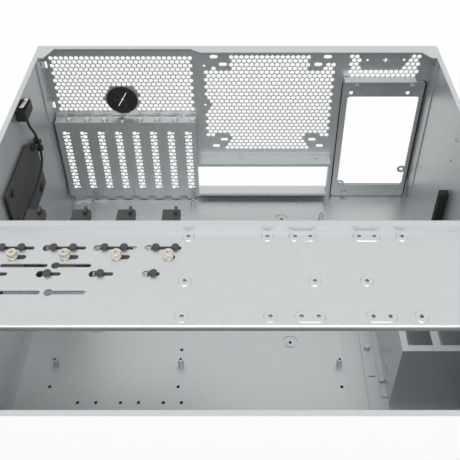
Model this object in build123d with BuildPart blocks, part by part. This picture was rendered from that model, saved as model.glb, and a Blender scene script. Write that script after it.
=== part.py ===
from build123d import *
from math import cos, sin, radians
import os

os.makedirs("parts", exist_ok=True)

# A five unit 19 inch server case with its lid off, in galvanised sheet steel.
# X runs across the case, Y to the rear and Z up. The origin is under the middle of the whole case.

# The case
case_width = 430.0
case_height = 220.0
body_depth = 427.5
handle_reach = 40.0
ear_span = 482.6
sheet = 1.2
gap = 0.3
grommet_proud = 1.6

# Side walls and their top flanges
flange_width = 5.0
corner_reach = 24.7
return_depth = 25.0
return_low = 30.0

# The rear panel's top flange and perforated fields
flange_narrow = 6.5
flange_wide = 13.7
flange_step = (-50.8, -39.8)
gusset_width = 10.4
gusset_slope = 8.0
hex_pitch = 9.6
hex_size = 7.4
vent_left = (-204.2, -51.5)
vent_left_z = (137.2, 205.3)
vent_mid = (-35.1, 106.0)
vent_mid_z = (78.9, 206.6)
psu_vent_x = (127.0, 202.0)
psu_vent_bare = (138.0, 182.0)
psu_vent_z = (184.5, 208.0)
fan_centre = (36.25, 144.9)
fan_spacings = (105.0, 124.5)
fan_slot_length = 9.0
fan_slot_width = 4.6
fan_slot_clearance = 8.0

# Cable grommet
grommet_centre = (-132.1, 150.3)
grommet_hole_r = 15.0
grommet_rim_r = 17.7
grommet_slit = 1.0
grommet_lip = 2.5
grommet_dish = 1.0

# The recessed frame round the card slots and the port opening
recess = 14.5
slot_left = -211.0
slot_right = -48.6
slot_ledge_z = 127.2
slot_flange_height = 5.0
frame_low = 12.7
slot_pitch = 20.32
slot_count = 8
slot_first = -200.1
slot_opening_width = 12.5
slot_opening_z = (24.0, 116.0)
port_width = 158.75
port_height = 44.45
port_low = 16.2
port_margin = 2.25
port_ledge_z = 64.7
port_flange_height = 7.1
rivet_r = 1.6
rivet_head_r = 2.3
rivet_head = 1.2
rivet_play = 0.05
wall_screw_r = 2.0
wall_hole_play = 0.2
wall_hole_r = wall_screw_r + wall_hole_play
wall_screw_head_r = 3.6
wall_screw_head = 2.0
through = 1.0
slot_rivets = (-200.0, -132.5, -62.7)
port_rivets = (3.0, 95.5)

# Slot covers and their screws
cover_width = 18.4
cover_sheet = 1.0
cover_tail_width = 10.0
cover_tail_low = 6.0
cover_tab_depth = 11.5
cover_channel_width = 10.6
cover_channel_depth = 0.4
cover_vent_z = (28.1, 112.4)
cover_vent_rows = 17
cover_vent_size = 4.8
cover_vent_small = 2.8
cover_vent_x = 1.4
cover_vent_small_x = 2.9
cover_screw_offset = 5.4
cover_screw_ahead = 10.0
slot_screw_r = 1.7
slot_screw_head_r = 3.2
slot_screw_head = 2.2
slot_screw_length = 7.0

# Power supply bracket in the rear panel
psu_plate = (118.4, 210.2)
psu_plate_z = (2.0, 176.0)
psu_ledge = (118.4, 197.7)
psu_ledge_z = 181.6
psu_ledge_depth = 10.6
psu_opening = (125.0, 206.5)
psu_opening_z = (21.7, 156.0)
psu_corner_r = 3.5
psu_first_hole = (128.3, 161.2)
psu_holes = ((0.0, 0.0), (64.0, 0.0), (0.0, -138.0), (74.0, -114.0))
psu_hole_r = 2.3
psu_ring_r = 5.2
psu_panel_margin = 3.0
gasket_x = (117.3, 212.2)
gasket_low = 1.4
gasket_thick = 1.0
gasket_hole_r = 3.0
psu_screws = ((134.1, 169.3), (196.5, 169.3), (134.7, 8.3), (196.8, 8.3))

# Motherboard tray and standoffs
tray_x = (-198.0, 107.0)
tray_ahead = (18.4, 340.0)
tray_top = 6.0
tray_corner_r = 5.0
board_first = (-180.3, 27.0)
board_columns = (0.0, 124.46, 281.94)
board_rows = (0.0, 154.94, 227.33)
board_step = 22.86
standoff_height = 10.0
standoff_across = 5.0
standoff_stud_r = 1.5
standoff_bore_r = 1.3
tray_boss_r = 8.0
tray_groove = 0.7
tray_groove_width = 2.6
tray_bosses = ((54.4, 228.1), (-147.0, 210.0), (53.4, 49.6))
tray_hole_r = 1.6
tray_holes = ((-56.4, 236.9), (-181.8, 278.7), (-57.1, 278.7), (101.8, 278.7))
tray_pair_x = (-151.7, -134.4, -110.7, -93.7, -70.1, -52.8)
tray_pair_ahead = 295.5

# Cross bar that carries the drive pads and the card retainers
bar_top = 210.2
bar_ahead = (266.3, 357.0)
bar_riser = 5.6
bar_flange = 6.1
bar_lip = 4.8
bar_end_depth = 19.0
bar_end_ahead = (276.0, 347.0)
bar_bolts_ahead = (292.0, 331.0)
pad_first = (-37.1, 272.6)
pad_rows = (0.0, 44.45, 76.2)
pad_outer = (0.0, 61.72, 166.9, 228.6)
pad_pairs = ((83.4, 95.25), (133.35, 145.2))
pad_middle = (0.0, 95.25, 133.35, 228.6)
pad_r = 5.1
pad_rise = 0.8
pad_slope = 40.0
bar_fold_r = 2.6
pad_hole_r = 1.5
keyhole_r = 3.2
key_slot = 3.4
spare_rows = (301.9, 327.4)
spare_slot = (-176.2, -140.7)
spare_key = (-134.7, -108.0)

# Card retainers, which slide across under the bar
retainer_x = (-168.7, -129.1, -90.1, -50.8)
retainer_travel = (8.0, 8.0, 8.0, 3.0)
retainer_back_travel = 2.0
retainer_width = 24.0
retainer_base = 3.5
retainer_base_ahead = (279.5, 316.0)
retainer_centre = -2.5
hook_rows = (284.3, 310.1)
hooks = ((-10.5, 0), (4.5, 0), (-9.8, 1))
hook_r = 1.4
hook_head_r = 2.9
hook_head = 2.0
retainer_screw_ahead = 293.5
retainer_screw_r = 1.7
retainer_collar_r = 4.0
retainer_collar = 1.5
retainer_head_r = 3.6
retainer_head = 4.2
retainer_cross = (4.2, 1.0, 1.6)
arm_width = 15.3
arm_centre = -5.6
arm_ahead = (215.0, 288.0)
arm_top = 184.0
arm_thick = 8.0
arm_neck = 9.0
blade = 4.0
blade_ahead = (222.0, 262.0)
blade_low = 138.0
blade_foot = 4.0
post_width = 2.4
post_height = 4.0

# Lid switch on the left wall with its lead and clips
switch_ahead = (89.0, 111.0)
switch_width = 10.3
switch_z = (201.0, 212.5)
lever_length = 19.0
lever_width = 4.0
lever_thick = 0.5
lever_tilt = 11.0
lever_post = (0.9, 1.5, 1.4)
lever_inset = 1.0
switch_relief = (0.9, 3.0)
lever_pin_r = 0.6
lead_r = 1.3
lead_points = (
    (-208.5, 99.5, switch_z[0]), (-208.5, 99.5, 188.0), (-205.8, 91.0, 170.0), (-205.5, 90.5, 143.0),
    (-205.5, 96.5, 134.5), (-205.5, 110.0, 129.5), (-205.5, 134.0, 129.5), (-205.5, 166.0, 133.0),
    (-205.5, 214.0, 131.0), (-205.5, 268.0, 126.4), (-205.5, 322.0, 123.0), (-205.5, 372.0, 126.0),
    (-205.5, 403.0, 126.0),
)
lead_radii = (14.0, 26.0, 14.0, 16.0, 40.0, 100.0, 100.0, 100.0, 100.0, 100.0, 100.0)
first_clip = (80.0, 152.0)
first_clip_reach = 90.7
clip_places = ((240.0, 128.8), (345.0, 124.4))
clip_play = 0.35
clip_width = 5.0
clip_ring_r = 3.4
clip_bar = 2.0
clip_base = 1.2
clip_foot_r = 5.0

# Plastic guard on the left wall
guard_ahead = (86.0, 187.0)
guard_z = (98.0, 171.5)
guard_thick = 2.0
guard_chamfer = (24.0, 16.5)
guard_standoff = 1.5
guard_rivets = ((99.0, 160.5), (172.8, 164.0), (101.5, 106.0), (176.0, 106.0))
guard_rivet_r = 2.0
guard_rivet_head_r = 4.2
guard_rivet_head = 1.6
guard_boss = 1.6

# Foam strip on the right wall
foam_width = 8.8
foam_ahead = (131.0, 139.0)
foam_z = (22.0, 130.0)

# Drive cage
cage_left = 145.0
cage_ahead = (150.0, 295.2)
cage_height = 88.8
cage_rim = 6.0
cage_foot = 5.6
cage_front_foot = 8.0
cage_screw_head_r = 2.4
cage_screw_r = 1.3
divider_foot = 8.0
divider_x = 179.5
cage_slot = (2.6, 9.0)
cage_bolts_ahead = (175.0, 270.0)
cage_slot_z = (20.0, 50.0)

# Floor rail beside the tray
rail_x = (126.5, 139.0)
rail_ahead = (150.0, 340.0)
rail_height = 2.5
rail_stud_r = 2.0
rail_stud_head_r = 3.2
rail_stud_head = 3.4
rail_tab = (7.0, 1.0)
rail_studs = (232.5, 180.0)
rail_tab_ahead = 266.3

# Front panel, ears and handles
panel_thick = 2.0
front_flange = 3.2
ear_thick = 3.0
ear_side = 2.0
ear_side_depth = 45.0
ear_slot_spacing = 146.05
ear_slot_x = 232.55
ear_slot_r = 3.4
ear_slot_length = 10.0
ear_screws_z = (40.0, 110.0, 180.0)
ear_screw_ahead = 400.0
handle_x = 224.0
handle_span = 100.0
handle_width = 10.0
handle_bar = 9.0
handle_bend = 10.0
handle_screw_r = 2.4
handle_screw_depth = 11.0
handle_screw_head_r = 4.2
handle_screw_head = 2.6

# Front fans
fan_size = 120.0
fan_depth = 25.0
fan_bore_r = 57.5
fan_hole_spacing = 105.0
fan_hole_r = 2.2
fan_x = (-75.0, 55.0)
fan_z = 74.0
fan_hub_r = 20.0
fan_tip_r = 56.0
fan_blades = 7
fan_blade = 2.0
fan_strut = 4.0
fan_base = 3.0
fan_pin_r = 1.5
fan_bearing_play = 0.06
fan_blade_pitch = 38.0
fan_screw_depth = 8.0
fan_corner_r = 5.0
fan_pin_short = 5.0
fan_front_gap = 2.0
fan_blade_root = 2.0
fan_screw_head_r = 4.0
fan_screw_head = 2.0
intake_pitch = 9.6
intake_r = 55.0

# Buttons, lamps and sockets on the front
control_x = -190.0
power_z = 182.0
power_r = 6.0
reset_z = 160.0
reset_r = 2.6
button_proud = 1.5
button_travel = 1.5
button_play = 0.3
button_rim = 1.2
button_rim_thick = 1.0
lamp_z = (198.0, 204.0, 210.0)
lamp_r = 1.5
socket_z = (130.0, 142.0)
socket_size = (13.2, 5.8)
socket_depth = 12.0
board_x = (-209.0, -172.0)
board_z = (120.0, 214.0)
board_ahead = 408.0
board_thick = 1.6
key_body = (6.0, 4.0)
board_post_r = 2.5
board_posts = ((-204.0, 116.0), (-176.0, 116.0))
board_post_inset = 8.0
key_stem_r = 1.5
plug_size = 6.0
lamp_proud = 0.5
socket_wall = 0.6
socket_tongue = (0.2, 1.6)

# Places worked out from the sizes above
half = case_width / 2
inner = half - sheet
rear_y = (body_depth + handle_reach - grommet_proud) / 2
front_y = rear_y - body_depth
shell_front = body_depth - panel_thick
port_left = slot_right
port_right = port_left + port_width
frame_right = port_right + port_margin


def ahead(distance):
    """A place that far ahead of the rear panel's outer face."""
    return rear_y - distance


def block(x, distances, z, mode=Mode.ADD):
    """A box between two values on each axis, with Y given ahead of the rear face."""
    far, near = min(distances), max(distances)
    middle = ((x[0] + x[1]) / 2, ahead((far + near) / 2), (z[0] + z[1]) / 2)
    with Locations(middle):
        Box(abs(x[1] - x[0]), near - far, abs(z[1] - z[0]), mode=mode)


def rod(x, z, radius, far, near, mode=Mode.ADD):
    """A round rod along Y between two distances ahead of the rear face."""
    with Locations(Location((x, ahead((far + near) / 2), z), (90, 0, 0))):
        Cylinder(radius, near - far, mode=mode)


def upright(x, distance, radius, low, high, mode=Mode.ADD):
    """A round upright between two heights."""
    with Locations((x, ahead(distance), (low + high) / 2)):
        Cylinder(radius, high - low, mode=mode)


def crosswise(distance, z, radius, left, right, mode=Mode.ADD):
    """A round rod along X between two places."""
    with Locations(Location(((left + right) / 2, ahead(distance), z), (0, 90, 0))):
        Cylinder(radius, right - left, mode=mode)


def hex_field(x, z, pitch):
    """Centres of staggered rows that fill a rectangle."""
    row_height = pitch * cos(radians(30))
    rows = int((z[1] - z[0]) / row_height) + 1
    points = []
    for row in range(rows):
        shift = pitch / 2 * (row % 2)
        columns = int((x[1] - x[0] - shift) / pitch) + 1
        for column in range(columns):
            points.append((x[0] + shift + column * pitch, z[0] + row * row_height))
    return points


def apart(points, centre, radius):
    """The points that lie further than radius from a centre."""
    return [p for p in points if (p[0] - centre[0]) ** 2 + (p[1] - centre[1]) ** 2 > radius ** 2]


def square_corners(centre, spacing):
    """The four corners of a square."""
    reach = spacing / 2
    return [(centre[0] + sx * reach, centre[1] + sz * reach) for sx in (-1, 1) for sz in (-1, 1)]


fan_slots = [p for spacing in fan_spacings for p in square_corners(fan_centre, spacing)]
psu_points = [(psu_first_hole[0] + dx, psu_first_hole[1] + dz) for dx, dz in psu_holes]
slot_centres = [slot_first + i * slot_pitch for i in range(slot_count)]
slot_rivet_z = slot_ledge_z + slot_flange_height / 2
port_rivet_z = port_ledge_z + port_flange_height / 2
frame_rivets = [(x, slot_rivet_z) for x in slot_rivets] + [(x, port_rivet_z) for x in port_rivets]
bar_bolt_z = bar_top - sheet - bar_end_depth / 2
guard_face = -inner + guard_standoff + guard_thick
cage_bolt_x = cage_left - cage_foot / 2

# The shell is one sheet: the floor, both side walls, their top flanges and a flange over the front
with BuildPart() as chassis_shell:
    block((-half, half), (0, shell_front), (0, sheet))
    for side in (-1, 1):
        wall = (side * inner, side * half)
        block(wall, (sheet, shell_front), (sheet, case_height - sheet))
        edge = (side * (half - flange_width), side * half)
        flange_run = (corner_reach + gap, body_depth - front_flange)
        block(edge, flange_run, (case_height - sheet, case_height))
        left, right = sorted(wall)
        for distance in bar_bolts_ahead:
            crosswise(distance, bar_bolt_z, wall_hole_r, left - through, right + through, Mode.SUBTRACT)
        for height in ear_screws_z:
            crosswise(ear_screw_ahead, height, wall_hole_r, left - through, right + through, Mode.SUBTRACT)
    block((-half, half), (body_depth - front_flange, body_depth), (case_height - sheet, case_height))
    for distance, height in guard_rivets:
        crosswise(distance, height, guard_rivet_r + rivet_play, -half - through, -inner + through, Mode.SUBTRACT)
    for distance in cage_bolts_ahead:
        upright(cage_bolt_x, distance, cage_screw_r + rivet_play, -through, sheet + through, Mode.SUBTRACT)
chassis_shell.part.label = "chassis_shell"
export_step(chassis_shell.part, "parts/chassis_shell.step")

# The rear panel has a top flange that narrows over the left field, gussets at its corners
# and a return along each side wall
left_vents = apart(hex_field(vent_left, vent_left_z, hex_pitch), grommet_centre, grommet_rim_r + hex_size / 2)
mid_vents = hex_field(vent_mid, vent_mid_z, hex_pitch)
for slot in fan_slots:
    mid_vents = apart(mid_vents, slot, fan_slot_clearance)
psu_vents = [
    (x, z) for x, z in hex_field(psu_vent_x, psu_vent_z, hex_pitch)
    if z == psu_vent_z[0] or not psu_vent_bare[0] < x < psu_vent_bare[1]
]
slot_cut = ((slot_left + sheet, slot_right - sheet), (frame_low, slot_ledge_z - sheet))
port_cut = ((slot_right - 2 * sheet, frame_right - sheet), (port_low - sheet, port_ledge_z - sheet))
psu_cut = (
    (psu_opening[0] - psu_panel_margin, psu_opening[1] + psu_panel_margin),
    (psu_opening_z[0] - psu_panel_margin, psu_points[0][1] + psu_panel_margin),
)
with BuildPart() as rear_panel:
    with BuildSketch(Plane.XY.offset(case_height - sheet)):
        with BuildLine():
            Polyline(
                (-half, ahead(0)), (half, ahead(0)), (half, ahead(corner_reach)),
                (half - gusset_width, ahead(corner_reach)),
                (half - gusset_width - gusset_slope, ahead(flange_wide)),
                (flange_step[1], ahead(flange_wide)), (flange_step[0], ahead(flange_narrow)),
                (-half + gusset_width + gusset_slope, ahead(flange_narrow)),
                (-half + gusset_width, ahead(corner_reach)), (-half, ahead(corner_reach)),
                close=True,
            )
        make_face()
    extrude(amount=sheet)
    for side in (-1, 1):
        run = (side * (inner - sheet), side * inner)
        block(run, (sheet, return_depth), (return_low, case_height - sheet))
    with BuildSketch(Plane.XZ.offset(-rear_y)):
        with Locations((0, case_height / 2)):
            Rectangle(case_width, case_height - 2 * sheet)
        for x, z in (slot_cut, port_cut, psu_cut):
            with Locations((sum(x) / 2, sum(z) / 2)):
                Rectangle(x[1] - x[0], z[1] - z[0], mode=Mode.SUBTRACT)
        with Locations(*(left_vents + mid_vents + psu_vents)):
            RegularPolygon(hex_size / 2, 6, major_radius=False, rotation=30, mode=Mode.SUBTRACT)
        with Locations(*fan_slots):
            SlotOverall(fan_slot_length, fan_slot_width, mode=Mode.SUBTRACT)
        with Locations(grommet_centre):
            Circle(grommet_hole_r, mode=Mode.SUBTRACT)
        with Locations(*frame_rivets):
            Circle(rivet_r + rivet_play, mode=Mode.SUBTRACT)
        with Locations(*psu_screws):
            Circle(slot_screw_r + rivet_play, mode=Mode.SUBTRACT)
    extrude(amount=sheet)
rear_panel.part.label = "rear_panel"
export_step(rear_panel.part, "parts/rear_panel.step")

# A second sheet makes the recess: flanges riveted to the rear panel, two ledges and a face
with BuildPart() as slot_frame:
    face = (recess - sheet, recess)
    flange_run = (sheet, 2 * sheet)
    for span, ledge, rise in (
        ((slot_left, slot_right), slot_ledge_z, slot_flange_height),
        ((slot_right, frame_right), port_ledge_z, port_flange_height),
    ):
        block(span, flange_run, (ledge, ledge + rise))
        block(span, (sheet, recess), (ledge - sheet, ledge))
        block(span, face, (frame_low, ledge - sheet))
    block((slot_right - sheet, slot_right), (sheet, recess - sheet), (port_ledge_z - sheet, port_ledge_z))
    block((slot_left, slot_left + sheet), (sheet, recess - sheet), (frame_low, slot_ledge_z - sheet))
    block((slot_right - sheet, slot_right), (sheet, recess - sheet), (port_ledge_z, slot_ledge_z - sheet))
    block((frame_right - sheet, frame_right), (sheet, recess - sheet), (frame_low, port_ledge_z - sheet))
    block((port_left - sheet, port_right), (0, recess - sheet), (port_low - sheet, port_low))
    block((port_left, port_right), (recess - 2 * sheet, recess + sheet), (port_low, port_low + port_height),
          Mode.SUBTRACT)
    for centre in slot_centres:
        span = (centre - slot_opening_width / 2, centre + slot_opening_width / 2)
        block(span, (recess - 2 * sheet, recess + sheet), slot_opening_z, Mode.SUBTRACT)
        upright(centre + cover_screw_offset, cover_screw_ahead, slot_screw_r + rivet_play,
                slot_ledge_z - 2 * sheet, slot_ledge_z + sheet, Mode.SUBTRACT)
    for x, z in frame_rivets:
        rod(x, z, rivet_r + rivet_play, 0, 3 * sheet, Mode.SUBTRACT)
slot_frame.part.label = "slot_frame"
export_step(slot_frame.part, "parts/slot_frame.step")

with BuildPart() as frame_rivets_set:
    for x, z in frame_rivets:
        rod(x, z, rivet_r, 0, 2 * sheet)
        rod(x, z, rivet_head_r, 2 * sheet, 2 * sheet + rivet_head)
frame_rivets_set.part.label = "frame_rivets"
export_step(frame_rivets_set.part, "parts/frame_rivets.step")

# Each slot cover is a folded strip with a vented channel, a tab on the ledge and a tail below
vent_step = (cover_vent_z[1] - cover_vent_z[0]) / (cover_vent_rows - 1)
for index, centre in enumerate(slot_centres):
    with BuildPart() as slot_cover:
        rows = [(cover_vent_z[0] + row * vent_step, (-1) ** row) for row in range(cover_vent_rows)]
        with BuildSketch(Plane.XZ.offset(-ahead(recess))):
            with Locations((centre, (frame_low + slot_ledge_z) / 2)):
                Rectangle(cover_width, slot_ledge_z - frame_low)
            with Locations((centre, (cover_tail_low + frame_low) / 2)):
                Rectangle(cover_tail_width, frame_low - cover_tail_low)
            with Locations(*[(centre - side * cover_vent_x, z) for z, side in rows]):
                RegularPolygon(cover_vent_size / 2, 6, major_radius=False, rotation=30, mode=Mode.SUBTRACT)
            with Locations(*[(centre + side * cover_vent_small_x, z) for z, side in rows]):
                RegularPolygon(cover_vent_small / 2, 6, major_radius=False, rotation=30, mode=Mode.SUBTRACT)
        extrude(amount=cover_sheet)
        span = (centre - cover_width / 2, centre + cover_width / 2)
        top = (slot_ledge_z, slot_ledge_z + cover_sheet)
        block(span, (recess + cover_sheet - cover_tab_depth, recess + cover_sheet), top)
        channel = (centre - cover_channel_width / 2, centre + cover_channel_width / 2)
        front = (recess + cover_sheet - cover_channel_depth, recess + 2 * cover_sheet)
        block(channel, front, (cover_vent_z[0] - 6, cover_vent_z[1] + 6), Mode.SUBTRACT)
        upright(centre + cover_screw_offset, cover_screw_ahead, slot_screw_r + gap,
                slot_ledge_z - through, slot_ledge_z + through, Mode.SUBTRACT)
    slot_cover.part.label = f"slot_cover_{index + 1}"
    export_step(slot_cover.part, f"parts/slot_cover_{index + 1}.step")

with BuildPart() as slot_screws:
    seat = slot_ledge_z + cover_sheet
    for centre in slot_centres:
        x = centre + cover_screw_offset
        upright(x, cover_screw_ahead, slot_screw_r, seat - slot_screw_length, seat)
        upright(x, cover_screw_ahead, slot_screw_head_r, seat, seat + slot_screw_head)
slot_screws.part.label = "slot_screws"
export_step(slot_screws.part, "parts/slot_screws.step")

# A thin dark gasket lies between the rear panel and the power supply bracket
gasket_front = sheet + gasket_thick
window_width = psu_opening[1] - psu_opening[0]
window_height = psu_opening_z[1] - psu_opening_z[0]
window_centre = (sum(psu_opening) / 2, sum(psu_opening_z) / 2)
with BuildPart() as psu_gasket:
    with BuildSketch(Plane.XZ.offset(-ahead(sheet))):
        with Locations((sum(gasket_x) / 2, (gasket_low + psu_plate_z[1]) / 2)):
            RectangleRounded(gasket_x[1] - gasket_x[0], psu_plate_z[1] - gasket_low, psu_corner_r)
        with Locations(window_centre):
            RectangleRounded(window_width, window_height, psu_corner_r, mode=Mode.SUBTRACT)
        with Locations(*psu_points[:2]):
            Circle(gasket_hole_r, mode=Mode.SUBTRACT)
        with Locations(*psu_screws):
            Circle(slot_screw_r + gap, mode=Mode.SUBTRACT)
    extrude(amount=gasket_thick)
psu_gasket.part.label = "psu_gasket"
export_step(psu_gasket.part, "parts/psu_gasket.step")

# The power supply bracket: a plate with a rounded window, ring tabs and a stiff top ledge
with BuildPart() as psu_bracket:
    with BuildSketch(Plane.XZ.offset(-ahead(gasket_front))):
        with Locations((sum(psu_plate) / 2, sum(psu_plate_z) / 2)):
            RectangleRounded(psu_plate[1] - psu_plate[0], psu_plate_z[1] - psu_plate_z[0], psu_corner_r)
        with Locations(window_centre):
            RectangleRounded(window_width, window_height, psu_corner_r, mode=Mode.SUBTRACT)
        with Locations(*psu_points[2:]):
            Circle(psu_ring_r)
        with Locations(*psu_points):
            Circle(psu_hole_r, mode=Mode.SUBTRACT)
        with Locations(*psu_screws):
            Circle(slot_screw_r + rivet_play, mode=Mode.SUBTRACT)
    extrude(amount=sheet)
    block(psu_ledge, (gasket_front, gasket_front + sheet), (psu_plate_z[1] - psu_corner_r, psu_ledge_z))
    block(psu_ledge, (gasket_front, gasket_front + psu_ledge_depth), (psu_ledge_z - sheet, psu_ledge_z))
psu_bracket.part.label = "psu_bracket"
export_step(psu_bracket.part, "parts/psu_bracket.step")

with BuildPart() as psu_screws_set:
    seat = gasket_front + sheet
    for x, z in psu_screws:
        rod(x, z, slot_screw_r, 0, seat)
        rod(x, z, slot_screw_head_r, seat, seat + slot_screw_head)
psu_screws_set.part.label = "psu_screws"
export_step(psu_screws_set.part, "parts/psu_screws.step")

# The rubber grommet grips the rear panel between two rims, and its web is slit in six
with BuildPart() as cable_grommet:
    x, z = grommet_centre
    rod(x, z, grommet_rim_r, -grommet_proud, 0)
    rod(x, z, grommet_hole_r - gap / 3, 0, sheet)
    rod(x, z, grommet_rim_r, sheet, sheet + grommet_proud)
    bore_r = grommet_hole_r - grommet_lip
    rod(x, z, bore_r, -grommet_proud - through, grommet_dish - grommet_proud, Mode.SUBTRACT)
    rod(x, z, bore_r, sheet + grommet_proud - grommet_dish, sheet + grommet_proud + through, Mode.SUBTRACT)
    with BuildSketch(Plane.XZ.offset(-rear_y - grommet_proud)):
        with Locations(grommet_centre):
            with PolarLocations(0, 3):
                Rectangle(2 * bore_r - grommet_lip, grommet_slit)
    extrude(amount=sheet + 2 * grommet_proud, mode=Mode.SUBTRACT)
cable_grommet.part.label = "cable_grommet"
export_step(cable_grommet.part, "parts/cable_grommet.step")

# The raised tray for the motherboard, with turned down edges and sunk bosses
# The rear hole at the board's far side lies a step further in than the other two of its row
standoff_points = [(board_first[0] + dx, board_first[1] + dy) for dx in board_columns for dy in board_rows]
standoff_points[-len(board_rows)] = (board_first[0] + board_columns[-1], board_first[1] + board_step)
with BuildPart() as motherboard_tray:
    with BuildSketch(Plane.XY.offset(tray_top - sheet)):
        with Locations(((tray_x[0] + tray_x[1]) / 2, ahead(sum(tray_ahead) / 2))):
            RectangleRounded(tray_x[1] - tray_x[0], tray_ahead[1] - tray_ahead[0], tray_corner_r)
    extrude(amount=sheet)
    edge_run = (tray_ahead[0] + tray_corner_r, tray_ahead[1] - tray_corner_r)
    for x in (tray_x[0] + sheet / 2, tray_x[1] - sheet / 2):
        block((x - sheet / 2, x + sheet / 2), edge_run, (sheet, tray_top - sheet))
    for x, distance in tray_bosses:
        upright(x, distance, tray_boss_r, tray_top - tray_groove, tray_top + through, Mode.SUBTRACT)
        upright(x, distance, tray_boss_r - tray_groove_width, tray_top - sheet, tray_top)
    drilled = list(tray_holes) + [(x, tray_pair_ahead) for x in tray_pair_x] + list(tray_bosses)
    for x, distance in drilled:
        upright(x, distance, tray_hole_r, 0, tray_top + through, Mode.SUBTRACT)
    for x, distance in standoff_points:
        upright(x, distance, standoff_stud_r + rivet_play, 0, tray_top + through, Mode.SUBTRACT)
motherboard_tray.part.label = "motherboard_tray"
export_step(motherboard_tray.part, "parts/motherboard_tray.step")

with BuildPart() as motherboard_standoffs:
    with BuildSketch(Plane.XY.offset(tray_top)):
        with Locations(*[(x, ahead(distance)) for x, distance in standoff_points]):
            RegularPolygon(standoff_across / 2, 6, major_radius=False)
            Circle(standoff_bore_r, mode=Mode.SUBTRACT)
    extrude(amount=standoff_height)
    for x, distance in standoff_points:
        upright(x, distance, standoff_stud_r, tray_top - sheet, tray_top + through)
motherboard_standoffs.part.label = "motherboard_standoffs"
export_step(motherboard_standoffs.part, "parts/motherboard_standoffs.step")

# The cross bar: a plate with a stepped rear flange, a front lip and a tab down at each end
pad_holes = []
with BuildPart() as cross_bar:
    reach = inner - gap
    plate = (bar_top - sheet, bar_top)
    riser_top = bar_top + bar_riser
    block((-reach, reach), bar_ahead, plate)
    block((-reach, reach), (bar_ahead[0] - sheet, bar_ahead[0]), (bar_top - sheet, riser_top))
    block((-reach, reach), (bar_ahead[0] - bar_flange, bar_ahead[0]), (riser_top - sheet, riser_top))
    block((-reach, reach), (bar_ahead[1] - sheet, bar_ahead[1]), (bar_top - bar_lip, bar_top - sheet))
    for depth, radius in ((0, bar_fold_r), (sheet, bar_fold_r - sheet)):
        y, z = ahead(bar_ahead[1] - depth), bar_top - depth
        folds = edges().filter_by(Axis.X).filter_by(lambda e: e.length > case_width / 2)
        fillet(folds.filter_by(lambda e: abs(e.center().Y - y) + abs(e.center().Z - z) < gap), radius=radius)
    for side in (-1, 1):
        tab = (side * (reach - sheet), side * reach)
        block(tab, bar_end_ahead, (bar_top - sheet - bar_end_depth, bar_top - sheet))
        left, right = sorted(tab)
        for distance in bar_bolts_ahead:
            crosswise(distance, bar_bolt_z, wall_screw_r + rivet_play, left - through, right + through,
                      Mode.SUBTRACT)
    with BuildSketch(Plane.XY.offset(bar_top)):
        for row in (pad_rows[0], pad_rows[2]):
            for dx in pad_outer:
                pad_holes.append((pad_first[0] + dx, pad_first[1] + row))
                with Locations((pad_first[0] + dx, ahead(pad_first[1] + row))):
                    Circle(pad_r)
            for low, high in pad_pairs:
                pad_holes.extend((pad_first[0] + dx, pad_first[1] + row) for dx in (low, high))
                with Locations((pad_first[0] + (low + high) / 2, ahead(pad_first[1] + row))):
                    SlotCenterToCenter(high - low, 2 * pad_r)
        for dx in pad_middle:
            pad_holes.append((pad_first[0] + dx, pad_first[1] + pad_rows[1]))
            with Locations((pad_first[0] + dx, ahead(pad_first[1] + pad_rows[1]))):
                Circle(pad_r)
    extrude(amount=pad_rise, taper=pad_slope)
    with BuildSketch(Plane.XY.offset(bar_top + pad_rise)):
        with Locations(*[(x, ahead(distance)) for x, distance in pad_holes]):
            Circle(pad_hole_r)
    extrude(amount=-sheet - pad_rise, mode=Mode.SUBTRACT)
    with BuildSketch(Plane.XY.offset(bar_top)):
        for x, travel in zip(retainer_x, retainer_travel):
            stem = hook_r + gap
            low = x + hooks[0][0] - retainer_back_travel - 2 * stem
            high = x + hooks[1][0] + travel + stem
            with Locations(((low + high) / 2, ahead(hook_rows[0]))):
                SlotOverall(high - low, key_slot)
            with Locations((low, ahead(hook_rows[0]))):
                Circle(keyhole_r)
            low = x - retainer_back_travel - retainer_screw_r - gap
            high = x + travel + retainer_screw_r + gap
            with Locations(((low + high) / 2, ahead(retainer_screw_ahead))):
                SlotOverall(high - low, key_slot + 4 * gap)
            low = x + hooks[2][0] - retainer_back_travel - 2 * stem
            high = x + hooks[2][0] + travel + stem
            with Locations(((low + high) / 2, ahead(hook_rows[1]))):
                SlotOverall(high - low, key_slot)
            with Locations((low, ahead(hook_rows[1]))):
                Circle(keyhole_r)
        for row in spare_rows:
            for low, high in (spare_slot, spare_key):
                with Locations(((low + high) / 2, ahead(row))):
                    SlotOverall(high - low, key_slot)
            with Locations((spare_key[0], ahead(row))):
                Circle(keyhole_r)
    extrude(amount=-sheet, mode=Mode.SUBTRACT)
cross_bar.part.label = "cross_bar"
export_step(cross_bar.part, "parts/cross_bar.step")

with BuildPart() as bar_screws:
    for side in (-1, 1):
        for distance in bar_bolts_ahead:
            left, right = sorted((side * (reach - sheet), side * half))
            crosswise(distance, bar_bolt_z, wall_screw_r, left, right)
            left, right = sorted((side * half, side * (half + wall_screw_head)))
            crosswise(distance, bar_bolt_z, wall_screw_head_r, left, right)
bar_screws.part.label = "bar_screws"
export_step(bar_screws.part, "parts/bar_screws.step")

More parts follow.
